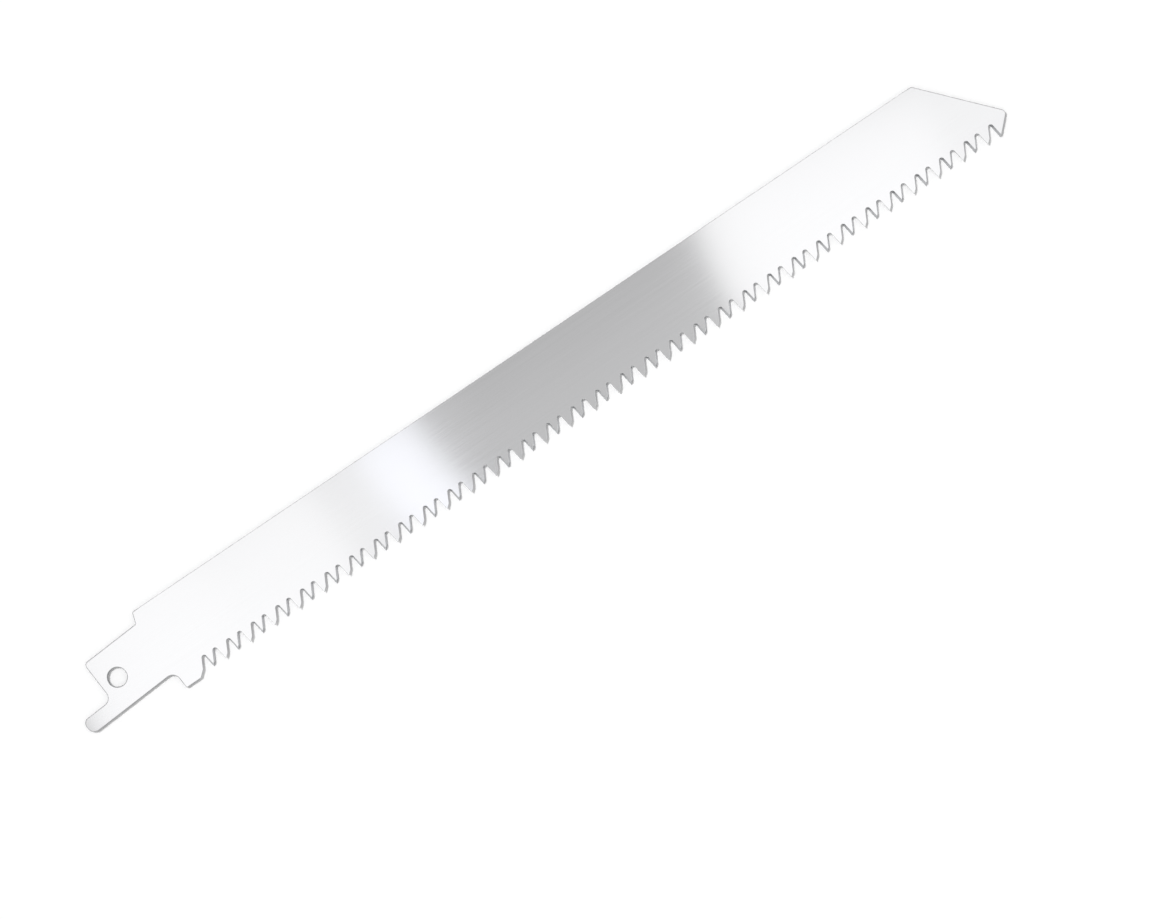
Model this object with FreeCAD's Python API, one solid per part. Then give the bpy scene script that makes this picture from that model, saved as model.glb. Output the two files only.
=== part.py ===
"""Reciprocating saw blade: one stainless steel sheet with a canted tang and alternately ground teeth.

Millimetres. The origin is the centre of the pin hole on the underside of the sheet. +X runs along the
body to the nose, +Y to the back edge, the teeth point to -Y, and +Z is up through the sheet.
"""
import FreeCAD, Part
import os
from math import cos, radians, sin, tan

V = FreeCAD.Vector

# Sheet and body
sheet_thickness = 1.0
body_width = 19.0
back_edge_height = 9.29
back_corner_radius = 0.8

# Nose
nose_reach = 214.13
nose_height = 4.15
nose_radius = 0.9
nose_back_angle = 47.9
nose_tooth_angle = 45.0

# Tang, in its own axes, which turn about the pin hole by the cant
tang_cant = 3.8
tang_width = 12.5
tang_end_reach = 3.8
tang_corner_radius = 0.9
leg_reach = 11.17
leg_width = 3.35
leg_inner_radius = 1.7
leg_back_radius = 1.3
leg_tooth_radius = 1.6
pin_hole_diameter = 4.0

# Shoulders between tang and body
tooth_shoulder_reach = 9.83
tooth_shoulder_fillet = 1.8
heel_corner_radius = 0.25
back_step_reach = 9.55
back_step_lean = 17.0
back_step_fillet = 0.35
back_step_corner = 0.5

# Teeth, as the grinding wheel leaves each gullet
first_gullet_reach = 16.75
toothed_length = 193.0
tooth_pitch = 3.016
gullet_depth = 3.64
gullet_root_radius = 0.5
tooth_front_lean = 8.5
tooth_flank_angle = 63.0
tip_facet_angle = 42.0
tip_facet_start = 2.35
tooth_bevel_angle = 21.0

# How far cutting tools run past the sheet
overcut = 0.6

tooth_line = back_edge_height - body_width
gullet_count = int(round(toothed_length / tooth_pitch)) + 1


def direction(angle):
    """Unit vector in the plane of the sheet at an angle from +X, in degrees."""
    return V(cos(radians(angle)), sin(radians(angle)), 0)


def tang_point(along, across):
    """Point given in the tang's own axes."""
    return direction(tang_cant) * along + direction(tang_cant + 90) * across


def at_level(point, angle, level):
    """Point where the line through a point, at an angle, reaches a given y."""
    return point + direction(angle) * ((level - point.y) / sin(radians(angle)))


def rounded_outline(corners):
    """Closed wire through corners given as (point, radius), each rounded by a tangent arc."""
    edges = []
    last_end = None
    first_start = None
    for index, (corner, radius) in enumerate(corners):
        before = (corners[index - 1][0] - corner).normalize()
        after = (corners[(index + 1) % len(corners)][0] - corner).normalize()
        half_angle = before.getAngle(after) / 2
        setback = radius / tan(half_angle)
        start = corner + before * setback
        end = corner + after * setback
        if last_end is None:
            first_start = start
        else:
            edges.append(Part.makeLine(last_end, start))
        if radius > 0:
            inward = (before + after).normalize()
            middle = corner + inward * (radius / sin(half_angle) - radius)
            edges.append(Part.Arc(start, middle, end).toShape())
        last_end = end
    edges.append(Part.makeLine(last_end, first_start))
    return Part.Wire(edges)


def nose_corner():
    """Sharp corner of the nose, placed so that its rounding ends at the stated reach."""
    half_angle = radians(nose_back_angle + nose_tooth_angle) / 2
    slant = radians(nose_back_angle - nose_tooth_angle) / 2
    centre_to_corner = nose_radius / sin(half_angle) * cos(slant)
    return V(nose_reach - nose_radius + centre_to_corner, tooth_line + nose_height, 0)


def blank():
    """Flat blank of the whole blade before the hole is punched and the teeth are ground."""
    half_tang = tang_width / 2
    leg_back = leg_width - half_tang
    leg_limit = 0.49 * leg_width
    nose = nose_corner()
    nose_foot = at_level(nose, nose_tooth_angle, tooth_line)
    nose_shoulder = at_level(nose, -nose_back_angle, back_edge_height)
    heel = at_level(tang_point(tooth_shoulder_reach, 0), tang_cant + 90, tooth_line)
    step_foot = tang_point(back_step_reach, half_tang)
    step_top = at_level(step_foot, 90 - back_step_lean, back_edge_height)
    corners = [
        (tang_point(-leg_reach, -half_tang), min(leg_tooth_radius, leg_limit)),
        (tang_point(tooth_shoulder_reach, -half_tang), tooth_shoulder_fillet),
        (heel, heel_corner_radius),
        (nose_foot, 0),
        (nose, nose_radius),
        (nose_shoulder, back_corner_radius),
        (step_top, back_step_corner),
        (step_foot, back_step_fillet),
        (tang_point(-tang_end_reach, half_tang), tang_corner_radius),
        (tang_point(-tang_end_reach, leg_back), leg_inner_radius),
        (tang_point(-leg_reach, leg_back), min(leg_back_radius, leg_limit)),
    ]
    return Part.Face(rounded_outline(corners)).extrude(V(0, 0, sheet_thickness))


def gullet_profile():
    """Section that one pass of the wheel grinds, centred on its root arc, with the root at y = 0."""
    floor = -(gullet_depth + overcut)
    centre = V(0, -gullet_root_radius, 0)
    flank_normal = direction(90 + tooth_flank_angle)
    front_normal = direction(tooth_front_lean)
    flank_tangent = centre + flank_normal * gullet_root_radius
    front_tangent = centre + front_normal * gullet_root_radius
    flank_end = at_level(flank_tangent, tooth_flank_angle, -tip_facet_start)
    facet_end = at_level(flank_end, tip_facet_angle, floor)
    front_end = at_level(front_tangent, tooth_front_lean - 90, floor)
    root = Part.Arc(flank_tangent, V(0, 0, 0), front_tangent).toShape()
    return Part.Wire([
        root,
        Part.makeLine(front_tangent, front_end),
        Part.makeLine(front_end, facet_end),
        Part.makeLine(facet_end, flank_end),
        Part.makeLine(flank_end, flank_tangent),
    ])


def gullet_cutter(index):
    """Slanted prism of one gullet. Even ones lean to the nose with height, odd ones to the tang."""
    lean = tan(radians(tooth_bevel_angle)) * (1 if index % 2 == 0 else -1)
    below = sheet_thickness / 2 + overcut
    reach = first_gullet_reach + index * tooth_pitch
    profile = gullet_profile()
    profile.translate(V(reach - lean * below, tooth_line + gullet_depth, -overcut))
    height = sheet_thickness + 2 * overcut
    return Part.Face(profile).extrude(V(lean * height, 0, height))


def pin_hole_cutter():
    """Straight punch through the sheet at the origin."""
    return Part.makeCylinder(pin_hole_diameter / 2, sheet_thickness + 2 * overcut, V(0, 0, -overcut))


def blade():
    """The finished blade: blank, pin hole and the row of gullets."""
    punched = blank().cut(pin_hole_cutter())
    return punched.cut([gullet_cutter(index) for index in range(gullet_count)])


def main():
    """Write the one piece and print its size."""
    os.makedirs("parts", exist_ok=True)
    shape = blade()
    solid = shape.Solids[0]
    box = solid.BoundBox
    print("solids", len(shape.Solids), "valid", solid.isValid(), "faces", len(solid.Faces))
    print("box", [round(value, 3) for value in (box.XMin, box.YMin, box.ZMin, box.XMax, box.YMax, box.ZMax)])
    print("length", round(box.XLength, 3), "volume", round(solid.Volume, 2), "gullets", gullet_count)
    solid.exportStep("parts/blade.step")


if __name__ == "__main__":
    main()
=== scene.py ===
"""Reciprocating saw blade: a dressed model of the blade in stainless steel, on a pale table.

Everything is in metres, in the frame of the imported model: the origin is the pin hole's centre on the
underside, +X runs to the nose, +Y to the back edge and +Z up. The blade lies flat on the table.
"""
from math import cos, pi, radians, sin, tan

import bmesh
import bpy
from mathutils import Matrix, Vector


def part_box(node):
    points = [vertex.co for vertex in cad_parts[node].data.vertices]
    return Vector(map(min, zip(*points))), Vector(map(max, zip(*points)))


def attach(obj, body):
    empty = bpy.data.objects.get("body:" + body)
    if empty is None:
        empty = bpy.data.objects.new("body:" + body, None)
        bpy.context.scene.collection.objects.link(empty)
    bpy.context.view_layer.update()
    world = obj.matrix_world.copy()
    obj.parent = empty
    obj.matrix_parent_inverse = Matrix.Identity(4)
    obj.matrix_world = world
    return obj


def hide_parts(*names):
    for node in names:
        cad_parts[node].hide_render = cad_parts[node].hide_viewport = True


bl_info = {
    "name": "Reciprocating Saw Blade",
    "version": (1, 0, 0),
    "blender": (4, 5, 0),
    "location": "View3D > Sidebar > Saw Blade",
    "description": "Builds a reciprocating saw blade with alternately ground teeth and its table",
    "category": "Object",
}

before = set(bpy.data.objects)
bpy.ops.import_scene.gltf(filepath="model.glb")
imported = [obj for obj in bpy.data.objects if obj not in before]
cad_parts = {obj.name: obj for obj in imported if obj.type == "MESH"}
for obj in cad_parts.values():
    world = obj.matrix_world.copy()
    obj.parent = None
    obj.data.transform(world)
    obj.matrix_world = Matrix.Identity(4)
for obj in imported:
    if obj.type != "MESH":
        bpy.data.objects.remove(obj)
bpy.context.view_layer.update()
BLADE_LOW, BLADE_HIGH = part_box("blade")

MM = 0.001

# The photograph's frame, in pixels, where the pin hole lies in it and how far the blade is turned
PHOTO_WIDTH = 1171
PHOTO_HEIGHT = 919
PHOTO_PIN_HOLE = (117.15, 677.2)
PHOTO_PIXELS_PER_MM = 4.9156
PHOTO_TURN = radians(34.0)

# Brightness of the room's ceiling, where its walls are 1, and the rise of a ray from wall to ceiling
CEILING = 0.85
WALL_TOP = 0.6
CEILING_RIM = 0.95

# Names of the values that each outline point carries into the node tree, and their types
ORDER = "order"
LOOP = "loop"
SLANT = "slant"
GULLET = "gullet"
TIP = "tip"
GROUND = "ground"
VALUE_TYPES = {ORDER: "FLOAT", LOOP: "INT", SLANT: "FLOAT_VECTOR", GULLET: "BOOLEAN", TIP: "BOOLEAN",
               GROUND: "FLOAT"}

# Name of the value that the node tree adds: the gullet's place in the row
ROW = "row"

# The gullets' points come before the blank's in the order round the outline
ORDER_PER_GULLET = 100
ORDER_OF_BLANK = 1000000

# Corners of the pin hole's outline
HOLE_STEPS = 64

# Least rise of the normal on the two flat faces, and points nearer than this become one
FLAT = 0.9
WELD = 0.001 * MM

# Between these values lies nearly all of a noise texture, and between these shades the steel varies
NOISE_LOW = 0.3
NOISE_HIGH = 0.7
SHADE_LOW = 0.985
SHADE_HIGH = 1.012


def linear(hex_colour):
    """Linear RGBA of an sRGB hex colour such as C8CACC."""
    values = [int(hex_colour[place:place + 2], 16) / 255 for place in (0, 2, 4)]
    return tuple(v / 12.92 if v <= 0.04045 else ((v + 0.055) / 1.055) ** 2.4 for v in values) + (1.0,)


def add_node(tree, kind, settings=None, inputs=None):
    """Add a node, set its properties and fill or link its inputs, by name or place."""
    node = tree.nodes.new(kind)
    for name, value in (settings or {}).items():
        setattr(node, name, value)
    for key, value in (inputs or {}).items():
        if isinstance(value, bpy.types.NodeSocket):
            tree.links.new(value, node.inputs[key])
        else:
            node.inputs[key].default_value = value
    return node


class SawBladeSizes(bpy.types.PropertyGroup):
    """Sizes of the sheet, the tang, the nose and the teeth."""

    thickness: bpy.props.FloatProperty(
        name="Sheet thickness", description="Thickness of the rolled sheet",
        default=BLADE_HIGH[2] - BLADE_LOW[2], unit="LENGTH")
    body_width: bpy.props.FloatProperty(
        name="Body width", description="Back edge to heel, square to the body",
        default=BLADE_HIGH[1] - BLADE_LOW[1], unit="LENGTH")
    nose_reach: bpy.props.FloatProperty(
        name="Nose reach", description="Pin hole to the end of the nose",
        default=BLADE_HIGH[0], unit="LENGTH")
    nose_height: bpy.props.FloatProperty(
        name="Nose height", description="Height of the nose's sharp corner over the tooth line",
        default=4.15 * MM, unit="LENGTH")
    nose_back_angle: bpy.props.FloatProperty(
        name="Nose slope", description="Slope from the back edge down to the nose",
        default=radians(47.9), subtype="ANGLE")
    nose_tooth_angle: bpy.props.FloatProperty(
        name="Nose underside", description="Slope from the nose back to the last tooth",
        default=radians(45.0), subtype="ANGLE")
    tang_cant: bpy.props.FloatProperty(
        name="Tang cant", description="Turn of the tang from the body, about the pin hole",
        default=radians(3.8), subtype="ANGLE")
    tang_width: bpy.props.FloatProperty(
        name="Tang width", description="Width that the saw's clamp takes",
        default=12.5 * MM, unit="LENGTH")
    pin_hole: bpy.props.FloatProperty(
        name="Pin hole", description="Diameter of the hole for the clamp's pin",
        default=4.0 * MM, unit="LENGTH")
    tooth_pitch: bpy.props.FloatProperty(
        name="Tooth pitch", description="Distance from gullet to gullet",
        default=3.016 * MM, unit="LENGTH")
    gullets: bpy.props.IntProperty(
        name="Gullets", description="Number of gullets ground into the edge",
        default=65, min=2)
    bevel_angle: bpy.props.FloatProperty(
        name="Tooth bevel", description="Lean of each ground gullet through the sheet, by turns to each side",
        default=radians(21.0), subtype="ANGLE")
    edge_break: bpy.props.FloatProperty(
        name="Edge break", description="Width of the tumbled rounding on the blanked edges",
        default=0.18 * MM, unit="LENGTH")


class SawBladeFinish(bpy.types.PropertyGroup):
    """Colours of the steel as it was rolled, ground and blanked, the last darkened partly as painted shade.
    """

    rolled_colour: bpy.props.FloatVectorProperty(
        name="Rolled face", description="Colour of the finely polished faces",
        default=linear("C0C0C1"), size=4, subtype="COLOR", min=0, max=1)
    ground_colour: bpy.props.FloatVectorProperty(
        name="Ground teeth", description="Colour of the freshly ground gullets",
        default=linear("B4B5B7"), size=4, subtype="COLOR", min=0, max=1)
    # Darker than a cut edge alone: partly the edge's own grey, partly painted shade for the dark outline line
    blanked_and_painted_shade_colour: bpy.props.FloatVectorProperty(
        name="Blanked edge", description="Colour of the edges where the blank was cut",
        default=linear("949597"), size=4, subtype="COLOR", min=0, max=1)
    table_colour: bpy.props.FloatVectorProperty(
        name="Table", description="Colour of the table top",
        default=linear("FCFCFC"), size=4, subtype="COLOR", min=0, max=1)


class SawBladeStudio(bpy.types.PropertyGroup):
    """Camera, lamps and table."""

    focal_length: bpy.props.FloatProperty(
        name="Focal length", description="Lens in millimetres on a 36 mm sensor", default=100.0, min=10)
    lamp_height: bpy.props.FloatProperty(
        name="Softbox height", description="Height of the softboxes over the blade",
        default=0.5, unit="LENGTH")
    table_side: bpy.props.FloatProperty(
        name="Table side", description="Side of the square table top", default=12.0, unit="LENGTH")
    room_fill: bpy.props.FloatProperty(
        name="Room fill", description="Light of the white room on matt surfaces", default=0.5, min=0)
    key_level: bpy.props.FloatProperty(
        name="Key lamp", description="Light of the key lamp on the table", default=0.56, min=0)


def direction(angle):
    """Unit vector in the plane of the sheet, at an angle from +X."""
    return Vector((cos(angle), sin(angle), 0.0))


def at_level(point, angle, level):
    """Point where the line through a point, at an angle, reaches a given y."""
    return point + direction(angle) * ((level - point.y) / sin(angle))


def crossing(point_a, angle_a, point_b, angle_b):
    """Point where two lines meet, each given by a point and its angle."""
    run_a = direction(angle_a)
    run_b = direction(angle_b)
    gap = point_b - point_a
    return point_a + run_a * ((gap.x * run_b.y - gap.y * run_b.x) / (run_a.x * run_b.y - run_a.y * run_b.x))


def arc_points(centre, radius, start, end):
    """Points on an arc from one angle to another, both ends included, a few degrees apart."""
    step = radians(6.0)
    count = max(2, int(abs(end - start) / step) + 2)
    turn = (end - start) / (count - 1)
    return [centre + direction(start + turn * place) * radius for place in range(count)]


def rounded_corner(before, corner, after, radius):
    """Points of the arc that rounds a corner between two neighbours."""
    to_before = (before - corner).normalized()
    to_after = (after - corner).normalized()
    half_angle = to_before.angle(to_after) / 2
    inward = (to_before + to_after).normalized()
    centre = corner + inward * (radius / sin(half_angle))
    turn = pi - 2 * half_angle
    side = 1 if to_before.cross(to_after).z < 0 else -1
    outward = -inward
    middle = Vector((1, 0, 0)).angle(outward) * (1 if outward.y >= 0 else -1)
    return arc_points(centre, radius, middle - side * turn / 2, middle + side * turn / 2)


class Gullet:
    """One ground gullet: its root arc, the flank and tip facet behind it and the tooth front ahead."""

    depth = 3.64 * MM
    root_radius = 0.5 * MM
    front_lean = radians(8.5)
    flank_angle = radians(63.0)
    facet_angle = radians(42.0)
    facet_start = 2.35 * MM
    first_reach = 16.75 * MM

    def __init__(self, tooth_line):
        """Place the gullet's own points round its root arc, at the height of the real ones."""
        root = tooth_line + self.depth
        self.centre = Vector((0, root - self.root_radius, 0))
        self.flank_point = self.centre + direction(pi / 2 + self.flank_angle) * self.root_radius
        self.front_point = self.centre + direction(self.front_lean) * self.root_radius
        self.facet_point = at_level(self.flank_point, self.flank_angle, root - self.facet_start)

    def root_points(self):
        """Root arc from the flank behind to the tooth front ahead."""
        return arc_points(self.centre, self.root_radius, pi / 2 + self.flank_angle, self.front_lean)

    def ridge(self, lean_front, other_point, other_angle, lean_other, thickness):
        """Edge where this gullet's front wall meets another plane: its middle and its slant per height."""
        ends = []
        for height in (-thickness / 2, thickness / 2):
            front = self.front_point + Vector((lean_front * height, 0, 0))
            other = other_point + Vector((lean_other * height, 0, 0))
            ends.append(crossing(front, self.front_lean - pi / 2, other, other_angle))
        return (ends[0] + ends[1]) / 2, (ends[1] - ends[0]) / thickness


class Blank:
    """The cut outline of the nose, the step at the back and the tang with its one leg."""

    nose_radius = 0.9 * MM
    back_corner_radius = 0.8 * MM
    step_reach = 9.55 * MM
    step_lean = radians(17.0)
    step_corner_radius = 0.5 * MM
    step_foot_radius = 0.35 * MM
    tang_end_reach = 3.8 * MM
    tang_corner_radius = 0.9 * MM
    leg_reach = 11.17 * MM
    leg_width = 3.35 * MM
    leg_root_radius = 1.7 * MM
    leg_back_radius = 1.3 * MM
    leg_tooth_radius = 1.6 * MM
    shoulder_reach = 9.83 * MM
    shoulder_radius = 1.8 * MM
    heel_radius = 0.25 * MM

    def __init__(self, sizes, tooth_line):
        """Work out the corners with their radii, from the nose round the back and the tang to the heel."""
        back = BLADE_HIGH[1]
        half_tang = sizes.tang_width / 2
        leg_back = self.leg_width - half_tang
        self.along_tang = direction(sizes.tang_cant)
        self.across_tang = direction(sizes.tang_cant + pi / 2)
        half_angle = (sizes.nose_back_angle + sizes.nose_tooth_angle) / 2
        slant = (sizes.nose_back_angle - sizes.nose_tooth_angle) / 2
        corner_past_end = self.nose_radius / sin(half_angle) * cos(slant) - self.nose_radius
        self.nose = Vector((sizes.nose_reach + corner_past_end, tooth_line + sizes.nose_height, 0))
        step_foot = self.tang_point(self.step_reach, half_tang)
        shoulder = self.tang_point(self.shoulder_reach, -half_tang)
        self.tang_end = [self.tang_point(-self.tang_end_reach, half_tang - self.tang_corner_radius),
                         self.tang_point(-self.tang_end_reach, leg_back + self.leg_root_radius)]
        self.corners = [
            (self.nose, self.nose_radius),
            (at_level(self.nose, -sizes.nose_back_angle, back), self.back_corner_radius),
            (at_level(step_foot, pi / 2 - self.step_lean, back), self.step_corner_radius),
            (step_foot, self.step_foot_radius),
            (self.tang_point(-self.tang_end_reach, half_tang), self.tang_corner_radius),
            (self.tang_point(-self.tang_end_reach, leg_back), self.leg_root_radius),
            (self.tang_point(-self.leg_reach, leg_back), self.leg_back_radius),
            (self.tang_point(-self.leg_reach, -half_tang), self.leg_tooth_radius),
            (shoulder, self.shoulder_radius),
            (at_level(shoulder, sizes.tang_cant + pi / 2, tooth_line), self.heel_radius),
        ]

    def tang_point(self, along, across):
        """Point of the tang from its lengths along and across it, from the pin hole."""
        return self.along_tang * along + self.across_tang * across


def outline_points(sizes):
    """Points for the node tree: the blank once round, one gullet and the pin hole."""
    tooth_line = BLADE_HIGH[1] - sizes.body_width
    gullet = Gullet(tooth_line)
    blank = Blank(sizes, tooth_line)
    lean = tan(sizes.bevel_angle)
    last_reach = gullet.first_reach + (sizes.gullets - 1) * sizes.tooth_pitch
    last_lean = lean if sizes.gullets % 2 == 1 else -lean
    points = []

    def add(point, order, slant=Vector(), loop=0, in_gullet=False, tip=False, ground=False):
        """Note one point with the values that the node tree reads."""
        points.append({"point": point, ORDER: order, SLANT: slant, LOOP: loop,
                       GULLET: in_gullet, TIP: tip, GROUND: float(ground)})

    # The blank, between the foot of the nose and the foot of the heel, which both lie on a gullet's wall
    to_last = Vector((last_reach, 0, 0))
    nose_foot, nose_slant = gullet.ridge(
        last_lean, blank.nose - to_last, sizes.nose_tooth_angle, 0.0, sizes.thickness)
    nose_foot = nose_foot + to_last
    heel_foot = at_level(gullet.facet_point, gullet.facet_angle, tooth_line)
    heel_foot = heel_foot + Vector((gullet.first_reach, 0, 0))
    heel_slant = Vector((lean, 0, 0))
    stops = [nose_foot] + [corner for corner, radius in blank.corners] + [heel_foot]
    rounded = []
    for index, (corner, radius) in enumerate(blank.corners):
        rounded += rounded_corner(stops[index], corner, stops[index + 2], radius)
    add(nose_foot, ORDER_OF_BLANK, nose_slant, ground=True)
    for index, point in enumerate(rounded, start=1):
        add(point, ORDER_OF_BLANK + index)
    add(heel_foot, ORDER_OF_BLANK + len(rounded) + 1, heel_slant, ground=True)

    # One gullet, with the tip that parts it from the next
    next_facet = gullet.facet_point + Vector((sizes.tooth_pitch, 0, 0))
    tip, tip_slant = gullet.ridge(lean, next_facet, gullet.facet_angle, -lean, sizes.thickness)
    cell = [gullet.facet_point] + gullet.root_points()
    for index, point in enumerate(cell):
        add(point, index, heel_slant, in_gullet=True, ground=True)
    add(tip, len(cell), tip_slant, in_gullet=True, tip=True, ground=True)

    # The pin hole, as a second outline
    for index in range(HOLE_STEPS):
        add(direction(-2 * pi * index / HOLE_STEPS) * (sizes.pin_hole / 2), index, loop=1)
    return points


def points_object(name, points):
    """Object of loose points that carry their values as named attributes."""
    mesh = bpy.data.meshes.new(name)
    mesh.from_pydata([entry["point"] for entry in points], [], [])
    for key, kind in VALUE_TYPES.items():
        layer = mesh.attributes.new(key, kind, "POINT")
        field = "vector" if kind == "FLOAT_VECTOR" else "value"
        for index, entry in enumerate(points):
            setattr(layer.data[index], field, entry[key])
    thing = bpy.data.objects.new(name, mesh)
    bpy.context.scene.collection.objects.link(thing)
    return thing


def toothed_sheet_tree():
    """Node tree: repeats the gullet along the edge, closes the outline and makes the sheet from it."""
    tree = bpy.data.node_groups.new("Toothed sheet", "GeometryNodeTree")
    for name, kind in (("Points", "NodeSocketGeometry"), ("Tooth Pitch", "NodeSocketFloat"),
                       ("Gullets", "NodeSocketInt"), ("First Gullet", "NodeSocketFloat"),
                       ("Thickness", "NodeSocketFloat"), ("Rolled Face", "NodeSocketMaterial"),
                       ("Ground Tooth", "NodeSocketMaterial"), ("Blanked Edge", "NodeSocketMaterial")):
        tree.interface.new_socket(name, in_out="INPUT", socket_type=kind)
    tree.interface.new_socket("Sheet", in_out="OUTPUT", socket_type="NodeSocketGeometry")
    given = add_node(tree, "NodeGroupInput").outputs
    values = {}
    for name, kind in (*VALUE_TYPES.items(), (ROW, "INT")):
        values[name] = add_node(tree, "GeometryNodeInputNamedAttribute", {"data_type": kind},
                                {"Name": name}).outputs[0]

    # One gullet on each point of the row, and its place in the row kept
    parted = add_node(tree, "GeometryNodeSeparateGeometry", {"domain": "POINT"},
                      {"Geometry": given["Points"], "Selection": values[GULLET]})
    start = add_node(tree, "ShaderNodeCombineXYZ", None, {"X": given["First Gullet"]}).outputs[0]
    stride = add_node(tree, "ShaderNodeCombineXYZ", None, {"X": given["Tooth Pitch"]}).outputs[0]
    places = add_node(tree, "GeometryNodeMeshLine", {"mode": "OFFSET"},
                      {"Count": given["Gullets"], "Start Location": start, "Offset": stride}).outputs[0]
    rows = add_node(tree, "GeometryNodeInstanceOnPoints", None,
                    {"Points": places, "Instance": parted.outputs["Selection"]}).outputs[0]
    number = add_node(tree, "GeometryNodeInputIndex").outputs[0]
    rows = add_node(tree, "GeometryNodeStoreNamedAttribute", {"data_type": "INT", "domain": "INSTANCE"},
                    {"Geometry": rows, "Name": ROW, "Value": number}).outputs[0]
    rows = add_node(tree, "GeometryNodeRealizeInstances", None, {"Geometry": rows}).outputs[0]

    # Every other gullet leans the other way
    odd = add_node(tree, "ShaderNodeMath", {"operation": "MODULO"}, {0: values[ROW], 1: 2.0}).outputs[0]
    side = add_node(tree, "ShaderNodeMath", {"operation": "MULTIPLY_ADD"},
                    {0: odd, 1: -2.0, 2: 1.0}).outputs[0]
    leaning = add_node(tree, "ShaderNodeVectorMath", {"operation": "SCALE"},
                       {0: values[SLANT], "Scale": side}).outputs[0]
    in_row = add_node(tree, "ShaderNodeMath", {"operation": "MULTIPLY_ADD"},
                      {0: values[ROW], 1: float(ORDER_PER_GULLET), 2: values[ORDER]}).outputs[0]
    for name, value in ((SLANT, leaning), (ORDER, in_row)):
        rows = add_node(tree, "GeometryNodeStoreNamedAttribute",
                        {"data_type": VALUE_TYPES[name], "domain": "POINT"},
                        {"Geometry": rows, "Name": name, "Value": value}).outputs[0]

    # The last gullet ends at the nose instead of a tip
    before_last = add_node(tree, "ShaderNodeMath", {"operation": "SUBTRACT"},
                           {0: given["Gullets"], 1: 1.5}).outputs[0]
    is_last = add_node(tree, "ShaderNodeMath", {"operation": "GREATER_THAN"},
                       {0: values[ROW], 1: before_last}).outputs[0]
    last_tip = add_node(tree, "ShaderNodeMath", {"operation": "MULTIPLY"},
                        {0: is_last, 1: values[TIP]}).outputs[0]
    rows = add_node(tree, "GeometryNodeDeleteGeometry", {"domain": "POINT"},
                    {"Geometry": rows, "Selection": last_tip}).outputs[0]

    # All points strung in order into closed outlines
    joined = add_node(tree, "GeometryNodeJoinGeometry")
    tree.links.new(rows, joined.inputs[0])
    tree.links.new(parted.outputs["Inverted"], joined.inputs[0])
    cloud = add_node(tree, "GeometryNodeMeshToPoints", None, {"Mesh": joined.outputs[0]}).outputs[0]
    strung = add_node(tree, "GeometryNodePointsToCurves", None,
                      {"Points": cloud, "Curve Group ID": values[LOOP], "Weight": values[ORDER]}).outputs[0]
    outline = add_node(tree, "GeometryNodeSetSplineCyclic", None,
                       {"Geometry": strung, "Cyclic": True}).outputs[0]

    # The outline leans half its slant back on the underside and half forward on top, and each is filled
    up = add_node(tree, "ShaderNodeCombineXYZ", None, {"Z": given["Thickness"]}).outputs[0]
    whole_lean = add_node(tree, "ShaderNodeVectorMath", {"operation": "SCALE"},
                          {0: values[SLANT], "Scale": given["Thickness"]}).outputs[0]
    outlines = []
    for share in (-0.5, 0.5):
        offset = add_node(tree, "ShaderNodeVectorMath", {"operation": "SCALE"},
                          {0: whole_lean, "Scale": share}).outputs[0]
        outlines.append(add_node(tree, "GeometryNodeSetPosition", None,
                                 {"Geometry": outline, "Offset": offset}).outputs[0])
    under, over = outlines
    top_face = add_node(tree, "GeometryNodeFillCurve", {"mode": "NGONS"}, {"Curve": over}).outputs[0]
    top_face = add_node(tree, "GeometryNodeSetPosition", None,
                        {"Geometry": top_face, "Offset": up}).outputs[0]
    bottom_face = add_node(tree, "GeometryNodeFillCurve", {"mode": "NGONS"}, {"Curve": under}).outputs[0]
    bottom_face = add_node(tree, "GeometryNodeFlipFaces", None, {"Mesh": bottom_face}).outputs[0]

    # The walls rise from the lower outline to the upper one, and are ground where both their ends are
    both_ends = 0.99
    rim = add_node(tree, "GeometryNodeCurveToMesh", None, {"Curve": under}).outputs[0]
    raised = add_node(tree, "GeometryNodeExtrudeMesh", {"mode": "EDGES"},
                      {"Mesh": rim, "Offset": up, "Offset Scale": 1.0}).outputs
    walls = add_node(tree, "GeometryNodeSetPosition", None,
                     {"Geometry": raised["Mesh"], "Selection": raised["Top"],
                      "Offset": whole_lean}).outputs[0]
    walls = add_node(tree, "GeometryNodeFlipFaces", None, {"Mesh": walls}).outputs[0]
    is_ground = add_node(tree, "ShaderNodeMath", {"operation": "GREATER_THAN"},
                         {0: values[GROUND], 1: both_ends}).outputs[0]
    for selection, socket in ((True, "Blanked Edge"), (is_ground, "Ground Tooth")):
        walls = add_node(tree, "GeometryNodeSetMaterial", None,
                         {"Geometry": walls, "Selection": selection, "Material": given[socket]}).outputs[0]

    # One closed sheet, with the rolled finish on its two faces
    sheet = add_node(tree, "GeometryNodeJoinGeometry")
    for part in (walls, top_face, bottom_face):
        tree.links.new(part, sheet.inputs[0])
    welded = add_node(tree, "GeometryNodeMergeByDistance", None,
                      {"Geometry": sheet.outputs[0], "Distance": WELD}).outputs[0]
    whole = add_node(tree, "GeometryNodeRealizeInstances", None, {"Geometry": welded}).outputs[0]
    normal = add_node(tree, "GeometryNodeInputNormal").outputs[0]
    facing = add_node(tree, "ShaderNodeSeparateXYZ", None, {"Vector": normal}).outputs["Z"]
    level = add_node(tree, "ShaderNodeMath", {"operation": "ABSOLUTE"}, {0: facing}).outputs[0]
    is_face = add_node(tree, "ShaderNodeMath", {"operation": "GREATER_THAN"}, {0: level, 1: FLAT}).outputs[0]
    finished = add_node(tree, "GeometryNodeSetMaterial", None,
                        {"Geometry": whole, "Selection": is_face,
                         "Material": given["Rolled Face"]}).outputs[0]
    add_node(tree, "NodeGroupOutput", None, {"Sheet": finished})
    return tree


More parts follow.
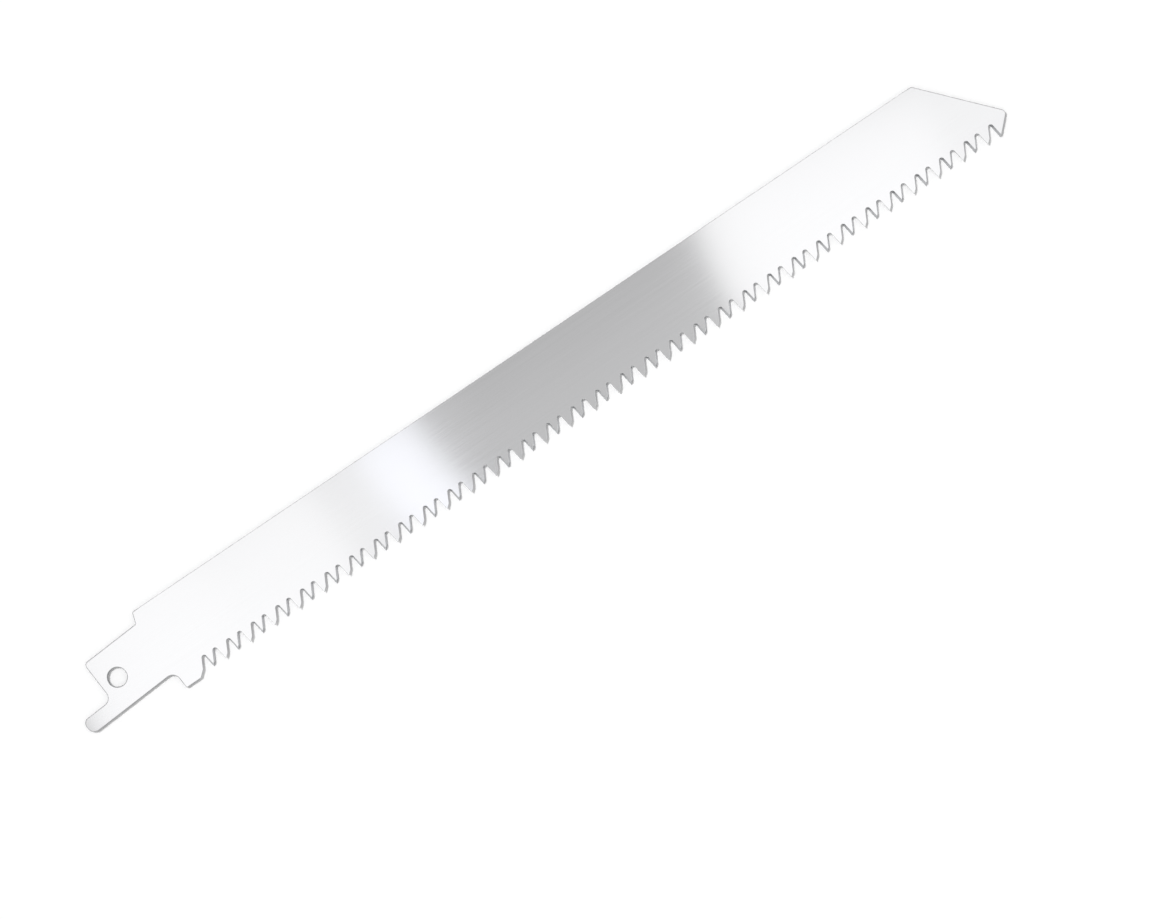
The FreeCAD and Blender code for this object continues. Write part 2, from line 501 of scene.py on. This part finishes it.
def grained_steel(name, colour, roughness, grain_mm, depth_mm, across, anisotropy=0.0, wave_mm=None,
                  wave_depth_mm=0.0):
    """Stainless steel with a fine grain, on a slow waviness where it has one. The grain lines and the
    waves are as long as given along X, Y and Z, and reflections smear in the direction across."""
    material = bpy.data.materials.new(name)
    material.use_nodes = True
    tree = material.node_tree
    shader = tree.nodes["Principled BSDF"]
    shader.inputs["Metallic"].default_value = 1.0
    shader.inputs["Anisotropic"].default_value = anisotropy
    place = add_node(tree, "ShaderNodeTexCoord").outputs["Object"]
    stretched = add_node(tree, "ShaderNodeMapping", None,
                         {"Vector": place, "Scale": [1 / (size * MM) for size in grain_mm]}).outputs[0]
    grain = add_node(tree, "ShaderNodeTexNoise", None,
                     {"Vector": stretched, "Scale": 1.0, "Detail": 3.0, "Roughness": 0.6}).outputs[0]
    spread = {"Value": grain, "From Min": NOISE_LOW, "From Max": NOISE_HIGH}
    low, high = roughness
    rough = add_node(tree, "ShaderNodeMapRange", None, spread | {"To Min": low, "To Max": high}).outputs[0]
    shade = add_node(tree, "ShaderNodeMapRange", None,
                     spread | {"To Min": SHADE_LOW, "To Max": SHADE_HIGH}).outputs[0]
    toned = add_node(tree, "ShaderNodeHueSaturation", None, {"Color": colour, "Value": shade}).outputs[0]
    relief = add_node(tree, "ShaderNodeBump", None,
                      {"Height": grain, "Strength": 1.0, "Distance": depth_mm * MM})
    if wave_mm:
        slow = add_node(tree, "ShaderNodeMapping", None,
                        {"Vector": place, "Scale": [1 / (size * MM) for size in wave_mm]}).outputs[0]
        wave = add_node(tree, "ShaderNodeTexNoise", None,
                        {"Vector": slow, "Scale": 1.0, "Detail": 1.0}).outputs[0]
        waved = add_node(tree, "ShaderNodeBump", None,
                         {"Height": wave, "Strength": 1.0, "Distance": wave_depth_mm * MM}).outputs[0]
        tree.links.new(waved, relief.inputs["Normal"])
    sideways = add_node(tree, "ShaderNodeCombineXYZ", None, dict(zip("XYZ", across))).outputs[0]
    for value, socket in ((toned, "Base Color"), (rough, "Roughness"), (relief.outputs[0], "Normal"),
                          (sideways, "Tangent")):
        tree.links.new(value, shader.inputs[socket])
    return material


def rolled_stainless(finish):
    """Bright rolled stainless sheet, finely polished along its length. Reflections stay crisp along the
    blade, smear across it and bend a little where the sheet isn't quite flat. The real grain is finer
    than a pixel and is drawn at 0.3 mm."""
    return grained_steel("rolled_polished_stainless", finish.rolled_colour, roughness=(0.095, 0.115),
                         grain_mm=(25.0, 0.3, 0.3), depth_mm=0.0003, across=(0.0, 1.0, 0.0), anisotropy=0.6,
                         wave_mm=(40.0, 25.0, 25.0), wave_depth_mm=0.03)


def ground_stainless(finish):
    """Stainless steel fresh from the grinding wheel: rougher than the faces, with lines through the
    thickness of the sheet."""
    return grained_steel("freshly_ground_stainless", finish.ground_colour, roughness=(0.22, 0.34),
                         grain_mm=(0.12, 0.12, 4.0), depth_mm=0.001, across=(1.0, 0.0, 0.0), anisotropy=0.4)


def blanked_and_painted_shade_stainless(finish):
    """Cut and tumbled edge of a stainless blank: greyer and duller than the faces, and darker still as
    painted shade, so that the blade's outline reads as a dark line. Faintly streaked through the thickness."""
    return grained_steel("blanked_stainless_with_painted_shade", finish.blanked_and_painted_shade_colour, roughness=(0.3, 0.42),
                         grain_mm=(0.25, 0.25, 1.5), depth_mm=0.0015, across=(0.0, 0.0, 1.0))


def set_modifier_inputs(modifier, values):
    """Set a node tree's inputs by name, through each socket's identifier."""
    for item in modifier.node_group.interface.items_tree:
        if item.item_type == "SOCKET" and item.in_out == "INPUT" and item.name in values:
            modifier[item.identifier] = values[item.name]


def split_round_hole(shape, sizes):
    """Split each flat face from the pin hole to the two ends of the tang's end edge, instead of where the
    fill happened to split it, so that the edge breaks have room beside each split."""
    tang_end = Blank(sizes, BLADE_HIGH[1] - sizes.body_width).tang_end
    old_splits = [edge for edge in shape.edges
                  if min(abs(face.normal.z) for face in edge.link_faces) > FLAT]
    for height in (0.0, sizes.thickness):
        up = Vector((0, 0, height))
        for end in tang_end:
            rim = end.normalized() * (sizes.pin_hole / 2)
            pair = []
            for place in (rim + up, end + up):
                pair.append(min(shape.verts, key=lambda vert: (vert.co - place).length))
            bmesh.ops.connect_vert_pair(shape, verts=pair)
    bmesh.ops.dissolve_edges(shape, edges=old_splits, use_verts=False)


def weigh_edges(shape, ground_slot, bevel_angle):
    """Full edge breaks on the blanked edges, and half of one along the back. The ground teeth stay keen:
    their breaks are narrow, though wider where a gullet undercuts the face than where it slopes away.
    Every face is smooth, so that the breaks carry the shading round the edges."""
    folded = radians(45)
    back = BLADE_HIGH[1] - WELD
    blanked_share = 1.0
    back_share = 0.5
    ridge_share = 0.3
    tooth_share = 0.42
    undercut_share = 0.14
    weights = shape.edges.layers.float.new("bevel_weight_edge")
    for edge in shape.edges:
        fold = edge.calc_face_angle()
        if fold < folded:
            continue
        ground_faces = sum(face.material_index == ground_slot for face in edge.link_faces)
        if ground_faces == 2:
            edge[weights] = ridge_share
        elif ground_faces == 1:
            edge[weights] = tooth_share + undercut_share * (fold - pi / 2) / bevel_angle
        else:
            along_back = min(vert.co.y for vert in edge.verts) > back
            edge[weights] = back_share if along_back else blanked_share
    for face in shape.faces:
        face.smooth = True


class SAWBLADE_OT_blade(bpy.types.Operator):
    """Build the blade from its sizes, in place of the plain solid"""

    bl_idname = "sawblade.blade"
    bl_label = "Saw Blade"

    def execute(self, context):
        sizes = context.scene.saw_blade_sizes
        finish = context.scene.saw_blade_finish
        base = points_object("blade_points", outline_points(sizes))
        modifier = base.modifiers.new("Toothed sheet", "NODES")
        modifier.node_group = toothed_sheet_tree()
        set_modifier_inputs(modifier, {
            "Tooth Pitch": sizes.tooth_pitch,
            "Gullets": sizes.gullets,
            "First Gullet": Gullet.first_reach,
            "Thickness": sizes.thickness,
            "Rolled Face": rolled_stainless(finish),
            "Ground Tooth": ground_stainless(finish),
            "Blanked Edge": blanked_and_painted_shade_stainless(finish),
        })
        evaluated = base.evaluated_get(context.evaluated_depsgraph_get())
        mesh = bpy.data.meshes.new_from_object(evaluated)
        bpy.data.objects.remove(base)
        mesh.name = "saw_blade"
        if not mesh.polygons:
            raise RuntimeError("The blade's outline didn't close, so it has no sheet")
        if mesh.materials[0] is None:
            mesh.materials.pop(index=0)
        shape = bmesh.new()
        shape.from_mesh(mesh)
        split_round_hole(shape, sizes)
        weigh_edges(shape, mesh.materials.find("freshly_ground_stainless"), sizes.bevel_angle)
        shape.to_mesh(mesh)
        shape.free()
        crisp = radians(15)
        mesh.set_sharp_from_angle(angle=crisp)
        piece = bpy.data.objects.new("saw_blade", mesh)
        context.scene.collection.objects.link(piece)
        breaks = piece.modifiers.new("Edge breaks", "BEVEL")
        breaks.limit_method = "WEIGHT"
        breaks.width = sizes.edge_break
        breaks.segments = 2
        breaks.harden_normals = True
        # Even widths, as sliding along the flat faces' splits would fold their outline over itself
        breaks.loop_slide = False
        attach(piece, "root")
        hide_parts("blade")
        return {"FINISHED"}


def table_material(finish):
    """Matt white laminate table top. A small share of plain white keeps it white to the eye and in the
    steel, and the rest takes the blade's shadow."""
    plain_share = 0.08
    material = bpy.data.materials.new("matt_white_laminate")
    material.use_nodes = True
    tree = material.node_tree
    shader = tree.nodes["Principled BSDF"]
    shader.inputs["Base Color"].default_value = finish.table_colour
    shader.inputs["Roughness"].default_value = 0.9
    shader.inputs["Specular IOR Level"].default_value = 0.0
    rays = add_node(tree, "ShaderNodeLightPath").outputs
    seen = add_node(tree, "ShaderNodeMath", {"operation": "MAXIMUM"},
                    {0: rays["Is Camera Ray"], 1: rays["Is Glossy Ray"]}).outputs[0]
    seen = add_node(tree, "ShaderNodeMath", {"operation": "MAXIMUM"},
                    {0: seen, 1: rays["Is Transmission Ray"]}).outputs[0]
    share = add_node(tree, "ShaderNodeMath", {"operation": "MULTIPLY"},
                     {0: seen, 1: plain_share}).outputs[0]
    plain = add_node(tree, "ShaderNodeEmission", None, {"Color": (1, 1, 1, 1), "Strength": 1.0}).outputs[0]
    mixed = add_node(tree, "ShaderNodeMixShader", None, {0: share, 1: shader.outputs[0], 2: plain}).outputs[0]
    tree.links.new(mixed, tree.nodes["Material Output"].inputs["Surface"])
    return material


def camera_spot(thickness):
    """Point on the blade's top face at the middle of the photograph."""
    across = (PHOTO_WIDTH / 2 - PHOTO_PIN_HOLE[0]) / PHOTO_PIXELS_PER_MM * MM
    up = (PHOTO_PIN_HOLE[1] - PHOTO_HEIGHT / 2) / PHOTO_PIXELS_PER_MM * MM
    return direction(-PHOTO_TURN) * across + direction(pi / 2 - PHOTO_TURN) * up + Vector((0, 0, thickness))


def add_camera(studio, thickness):
    """Camera straight over the blade, turned so that the blade rises to the right."""
    spot = camera_spot(thickness)
    data = bpy.data.cameras.new("camera")
    data.lens = studio.focal_length
    data.sensor_width = 36.0
    data.sensor_fit = "HORIZONTAL"
    data.clip_start = 0.01
    camera = bpy.data.objects.new("camera", data)
    view_width = PHOTO_WIDTH / PHOTO_PIXELS_PER_MM * MM
    distance = studio.focal_length / data.sensor_width * view_width
    camera.location = spot + Vector((0, 0, distance))
    camera.rotation_euler = (0, 0, -PHOTO_TURN)
    bpy.context.scene.collection.objects.link(camera)
    bpy.context.scene.camera = camera
    return spot, distance


def add_softbox(name, start, end, lean, back_reach, height, radiance, colour):
    """Softbox over the blade, long across it, between two x at the line that the blade mirrors. It leans
    about that line and reaches back_reach behind it."""
    front_reach = 0.3
    mirror_line = 0.012
    long_way = Vector((-sin(lean), cos(lean), 0))
    data = bpy.data.lights.new(name, "AREA")
    data.shape = "RECTANGLE"
    data.size = (end - start) * cos(lean)
    data.size_y = front_reach + back_reach
    data.energy = radiance * CEILING * pi * data.size * data.size_y
    data.color = colour[:3]
    lamp = bpy.data.objects.new(name, data)
    middle_of_line = Vector(((start + end) / 2, mirror_line, height))
    lamp.location = middle_of_line + long_way * (back_reach - front_reach) / 2
    lamp.rotation_euler = (0, 0, lean)
    lamp.visible_camera = False
    lamp.visible_diffuse = False
    bpy.context.scene.collection.objects.link(lamp)


def add_key(level):
    """Far key lamp behind the back edge, which lays a thin shadow on the tooth side. The steel shows
    only the softboxes and the room."""
    toward_lamp = Vector((-0.17, 0.38, 0.75)).normalized()
    softness = radians(9)
    data = bpy.data.lights.new("key", "SUN")
    data.angle = softness
    data.energy = level * pi / toward_lamp.z
    lamp = bpy.data.objects.new("key", data)
    lamp.location = toward_lamp
    lamp.rotation_euler = toward_lamp.to_track_quat("Z", "Y").to_euler()
    lamp.visible_glossy = False
    bpy.context.scene.collection.objects.link(lamp)


def white_room(fill):
    """White room with a slightly darker ceiling: it shows to the eye and in the steel, and is a softer
    fill on matt surfaces."""
    world = bpy.data.worlds.new("white_room")
    world.use_nodes = True
    tree = world.node_tree
    rays = add_node(tree, "ShaderNodeLightPath").outputs
    seen = add_node(tree, "ShaderNodeMath", {"operation": "MAXIMUM"},
                    {0: rays["Is Camera Ray"], 1: rays["Is Glossy Ray"]}).outputs[0]
    seen = add_node(tree, "ShaderNodeMath", {"operation": "MAXIMUM"},
                    {0: seen, 1: rays["Is Transmission Ray"]}).outputs[0]
    way = add_node(tree, "ShaderNodeTexCoord").outputs["Generated"]
    rise = add_node(tree, "ShaderNodeSeparateXYZ", None, {"Vector": way}).outputs["Z"]
    white = add_node(tree, "ShaderNodeMapRange", {"interpolation_type": "SMOOTHSTEP"},
                     {"Value": rise, "From Min": WALL_TOP, "From Max": CEILING_RIM,
                      "To Min": 1.0, "To Max": CEILING}).outputs[0]
    level = add_node(tree, "ShaderNodeMapRange", None,
                     {"Value": seen, "To Min": fill, "To Max": white}).outputs[0]
    tree.nodes["Background"].inputs["Color"].default_value = linear("FFFFFF")
    tree.links.new(level, tree.nodes["Background"].inputs["Strength"])
    return world


class SAWBLADE_OT_studio(bpy.types.Operator):
    """Set the table, the camera over it and the softboxes that the steel reflects"""

    bl_idname = "sawblade.studio"
    bl_label = "Studio"

    def execute(self, context):
        studio = context.scene.saw_blade_studio
        sizes = context.scene.saw_blade_sizes
        top = sizes.thickness
        spot, distance = add_camera(studio, top)
        blade_length = BLADE_HIGH[0] - BLADE_LOW[0]

        def reflected(share):
            """X of the softbox edge that shows in the blade at a share of its length."""
            x = BLADE_LOW[0] + share * blade_length
            return x + (x - spot.x) * studio.lamp_height / distance

        white = linear("FFFFFF")
        cool = linear("F6F8FF")
        # Name, start and end in shares of the blade's length, lean in degrees, reach behind the mirror
        # line, brightness on top of the ceiling's, colour
        boxes = (
            ("softbox_tang", 0.0, 0.16, 0.0, 0.045, 1.22, white),
            ("softbox_heel", 0.16, 0.285, 0.0, 0.04, 1.18, white),
            ("softbox_dim", 0.285, 0.337, 0.0, 0.04, 0.92, white),
            ("softbox_edge", 0.337, 0.405, 7.0, 0.035, 1.42, cool),
            ("softbox_fade", 0.405, 0.455, 7.0, 0.035, 0.12, white),
            ("softbox_over", 0.405, 0.698, 0.0, 0.006, 0.17, white),
            ("softbox_nose", 0.698, 0.94, -13.0, 0.036, 1.24, white),
            ("softbox_tip", 0.94, 1.6, -13.0, 0.03, 1.03, white),
        )
        for name, start, end, lean, back_reach, radiance, colour in boxes:
            add_softbox(name, reflected(start), reflected(end), radians(lean), back_reach,
                        studio.lamp_height + top, radiance, colour)
        add_key(studio.key_level)
        context.scene.world = white_room(studio.room_fill)

        half = studio.table_side / 2
        mesh = bpy.data.meshes.new("table")
        corners = [(-half, -half, 0), (half, -half, 0), (half, half, 0), (-half, half, 0)]
        mesh.from_pydata(corners, [], [(0, 1, 2, 3)])
        mesh.materials.append(table_material(context.scene.saw_blade_finish))
        table = bpy.data.objects.new("table", mesh)
        context.scene.collection.objects.link(table)
        context.scene.view_settings.view_transform = "Standard"
        return {"FINISHED"}


class SAWBLADE_PT_panel(bpy.types.Panel):
    """Sizes, finish and studio of the saw blade"""

    bl_idname = "SAWBLADE_PT_panel"
    bl_label = "Saw Blade"
    bl_space_type = "VIEW_3D"
    bl_region_type = "UI"
    bl_category = "Saw Blade"

    def draw(self, context):
        layout = self.layout
        for group in ("saw_blade_sizes", "saw_blade_finish", "saw_blade_studio"):
            box = layout.box()
            settings = getattr(context.scene, group)
            for name in settings.__annotations__:
                box.prop(settings, name)
        layout.operator(SAWBLADE_OT_blade.bl_idname)
        layout.operator(SAWBLADE_OT_studio.bl_idname)


CLASSES = (SawBladeSizes, SawBladeFinish, SawBladeStudio, SAWBLADE_OT_blade, SAWBLADE_OT_studio,
           SAWBLADE_PT_panel)


def register():
    """Register the classes and attach the settings to the scene."""
    for item in CLASSES:
        bpy.utils.register_class(item)
    bpy.types.Scene.saw_blade_sizes = bpy.props.PointerProperty(type=SawBladeSizes)
    bpy.types.Scene.saw_blade_finish = bpy.props.PointerProperty(type=SawBladeFinish)
    bpy.types.Scene.saw_blade_studio = bpy.props.PointerProperty(type=SawBladeStudio)


def unregister():
    """Detach the settings and remove the classes."""
    del bpy.types.Scene.saw_blade_sizes
    del bpy.types.Scene.saw_blade_finish
    del bpy.types.Scene.saw_blade_studio
    for item in reversed(CLASSES):
        bpy.utils.unregister_class(item)


def main():
    """Build everything: the blade, then the studio."""
    register()
    bpy.ops.sawblade.blade()
    bpy.ops.sawblade.studio()


if __name__ == "__main__":
    main()
